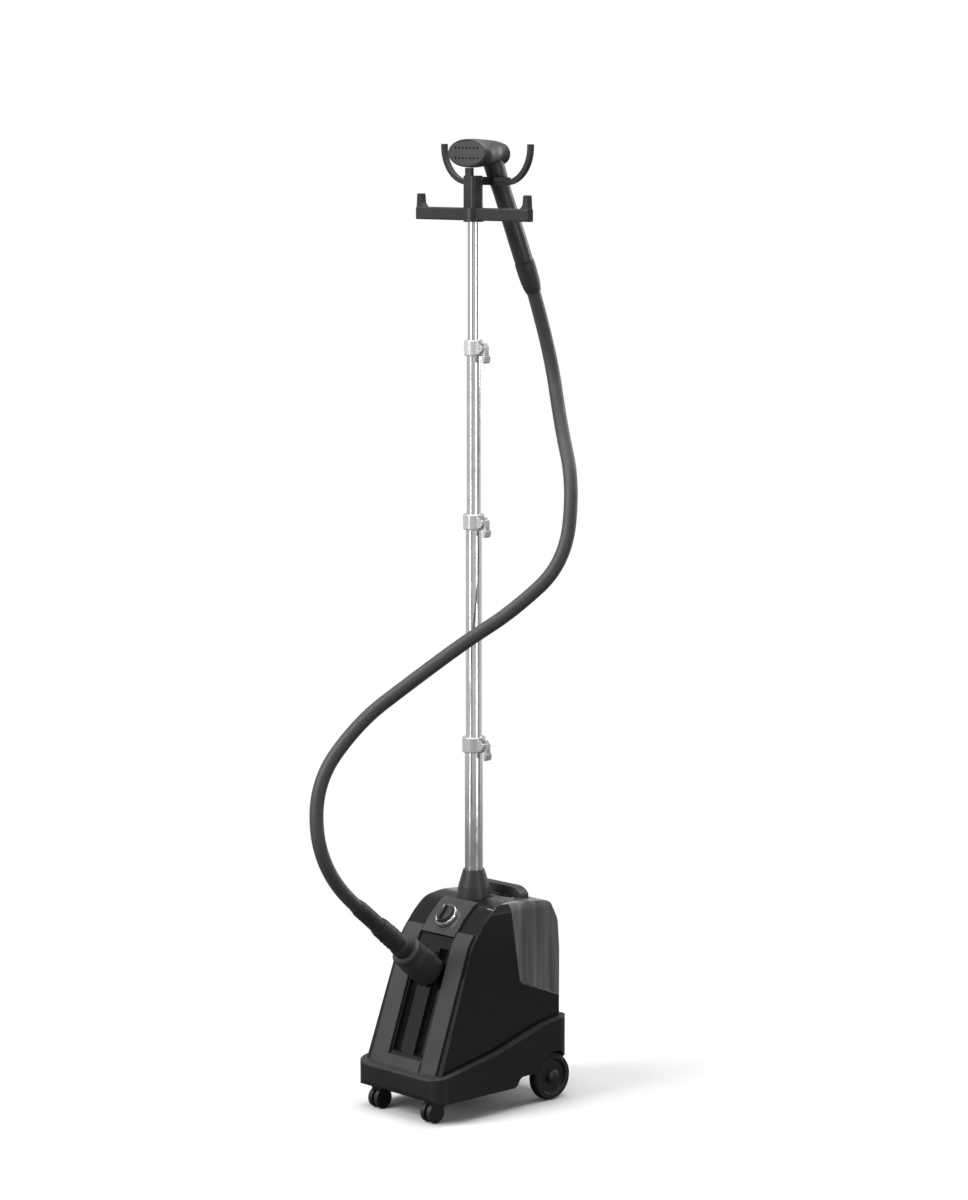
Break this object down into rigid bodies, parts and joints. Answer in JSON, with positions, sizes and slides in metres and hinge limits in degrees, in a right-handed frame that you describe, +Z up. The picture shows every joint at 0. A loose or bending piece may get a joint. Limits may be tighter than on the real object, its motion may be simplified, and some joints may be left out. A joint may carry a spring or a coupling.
{
  "type": "garment steamer",
  "caption": "Upright garment steamer: wheeled boiler base with a lift-out tank, telescopic pole with a hanger bar, and a cradled steam head on a free hose.",
  "frame": {"origin": "on the floor under the middle of the object, leaving out the free hose", "axes": "+Z up the pole; -Y is the front, where the hose leaves; +X to the right"},
  "size_m": [0.2772, 0.4963, 1.5384],
  "materials": {
    "gloss_black": "high gloss moulded shell",
    "chassis_black": "satin moulded chassis",
    "satin_grey": "satin trim",
    "handle_grey": "fine-textured grip plastic",
    "smoke_tank": "smoky translucent tank",
    "chrome": "bright plated tube",
    "clamp_silver": "silver moulded clamp",
    "rubber_black": "matt rubber",
    "wheel_plastic": "satin wheel body",
    "tyre": "soft tread",
    "steel": "bright steel",
    "cast_aluminium": "cast or machined",
    "nylon": "natural nylon",
    "silicone": "clear silicone tube"
  },
  "bodies": {
    "base": {"base_pan": "chassis_black", "housing": "gloss_black", "front_bands": "satin_grey", "front_lip": "satin_grey", "console_panel": "satin_grey", "hose_socket": "handle_grey", "hose_cuff_lower": "rubber_black", "pole_socket": "handle_grey", "dial_bezel": "chrome", "dial_switch": "chassis_black", "housing_screws": "steel", "boiler": "cast_aluminium", "thermostat": "steel", "thermal_fuse": "nylon", "pump": "chassis_black", "terminal_block": "nylon", "inlet_tube": "silicone", "feed_tube": "silicone", "steam_tube": "silicone", "valve_seat": "chassis_black", "cord_gland": "rubber_black", "rear_axle": "steel", "pole_tube_1": "chrome", "clamp_collar_1": "clamp_silver", "clamp_pin_1": "steel", "steam_hose": "rubber_black"},
    "pole_2": {"pole_tube_2": "chrome", "guide_bush_2": "nylon", "clamp_collar_2": "clamp_silver", "clamp_pin_2": "steel"},
    "pole_3": {"pole_tube_3": "chrome", "guide_bush_3": "nylon", "clamp_collar_3": "clamp_silver", "clamp_pin_3": "steel"},
    "pole_4": {"pole_tube_4": "chrome", "guide_bush_4": "nylon", "hanger_bar": "chassis_black", "head_cradle": "chassis_black"},
    "lever_1": {"clamp_lever_1": "clamp_silver"},
    "lever_2": {"clamp_lever_2": "clamp_silver"},
    "lever_3": {"clamp_lever_3": "clamp_silver"},
    "steam_head": {"head_shell": "handle_grey", "head_plate": "handle_grey", "head_handle": "handle_grey", "hose_cuff_upper": "rubber_black"},
    "tank": {"tank_shell": "smoke_tank", "tank_handle": "handle_grey"},
    "tank_cap": {"tank_cap": "handle_grey", "valve_spring": "steel"},
    "valve": {"valve_plunger": "nylon"},
    "dial": {"dial_knob": "handle_grey"},
    "wheel_left": {"rear_wheel_left": "wheel_plastic", "rear_tyre_left": "tyre"},
    "wheel_right": {"rear_wheel_right": "wheel_plastic", "rear_tyre_right": "tyre"},
    "caster_left": {"caster_fork_left": "chassis_black"},
    "caster_right": {"caster_fork_right": "chassis_black"},
    "caster_wheels_left": {"caster_wheels_left": "wheel_plastic"},
    "caster_wheels_right": {"caster_wheels_right": "wheel_plastic"}
  },
  "joints": [
    {"name": "pole_2_slide", "type": "slide", "parent": "base", "child": "pole_2", "axis": [0, 0, 1], "range_m": [-0.325, 0], "deforming": ["steam_hose"]},
    {"name": "pole_3_slide", "type": "slide", "parent": "pole_2", "child": "pole_3", "axis": [0, 0, 1], "range_m": [-0.245, 0.07], "deforming": ["steam_hose"]},
    {"name": "pole_4_slide", "type": "slide", "parent": "pole_3", "child": "pole_4", "axis": [0, 0, 1], "range_m": [-0.18, 0.13], "deforming": ["steam_hose"]},
    {"name": "head_lift", "type": "slide", "parent": "pole_4", "child": "steam_head", "axis": [0, 0, 1], "range_m": [0, 0.08], "deforming": ["steam_hose"]},
    {"name": "tank_lift", "type": "slide", "parent": "base", "child": "tank", "axis": [0, 0, 1], "range_m": [0, 0.15]},
    {"name": "tank_cap_screw", "type": "hinge", "parent": "tank", "child": "tank_cap", "pos_m": [0, 0.1244, 0.17], "axis": [0, 0, 1], "range_deg": [0, 360]},
    {"name": "valve_lift", "type": "slide", "parent": "tank_cap", "child": "valve", "axis": [0, 0, 1], "range_m": [0, 0.003], "stiffness_N_per_m": 60, "deforming": ["valve_spring"]},
    {"name": "dial_turn", "type": "hinge", "parent": "base", "child": "dial", "pos_m": [0, 0.0014, 0.307], "axis": [0, -0.7314, 0.682], "range_deg": [0, 270]},
    {"name": "wheel_left_roll", "type": "hinge", "parent": "base", "child": "wheel_left", "pos_m": [-0.086, 0.1444, 0.038], "axis": [1, 0, 0], "continuous": true},
    {"name": "wheel_right_roll", "type": "hinge", "parent": "base", "child": "wheel_right", "pos_m": [0.086, 0.1444, 0.038], "axis": [1, 0, 0], "continuous": true},
    {"name": "lever_1_flip", "type": "hinge", "parent": "base", "child": "lever_1", "pos_m": [0.0253, 0.0584, 0.579], "axis": [0, -1, 0], "range_deg": [0, 100]},
    {"name": "lever_2_flip", "type": "hinge", "parent": "pole_2", "child": "lever_2", "pos_m": [0.0237, 0.0584, 0.936], "axis": [0, -1, 0], "range_deg": [0, 100]},
    {"name": "lever_3_flip", "type": "hinge", "parent": "pole_3", "child": "lever_3", "pos_m": [0.0221, 0.0584, 1.211], "axis": [0, -1, 0], "range_deg": [0, 100]},
    {"name": "caster_left_swivel", "type": "hinge", "parent": "base", "child": "caster_left", "pos_m": [-0.062, -0.0806, 0.04], "axis": [0, 0, 1], "continuous": true},
    {"name": "caster_left_roll", "type": "hinge", "parent": "caster_left", "child": "caster_wheels_left", "pos_m": [-0.062, -0.0896, 0.0165], "axis": [1, 0, 0], "continuous": true},
    {"name": "caster_right_swivel", "type": "hinge", "parent": "base", "child": "caster_right", "pos_m": [0.062, -0.0806, 0.04], "axis": [0, 0, 1], "continuous": true},
    {"name": "caster_right_roll", "type": "hinge", "parent": "caster_right", "child": "caster_wheels_right", "pos_m": [0.062, -0.0896, 0.0165], "axis": [1, 0, 0], "continuous": true}
  ]
}
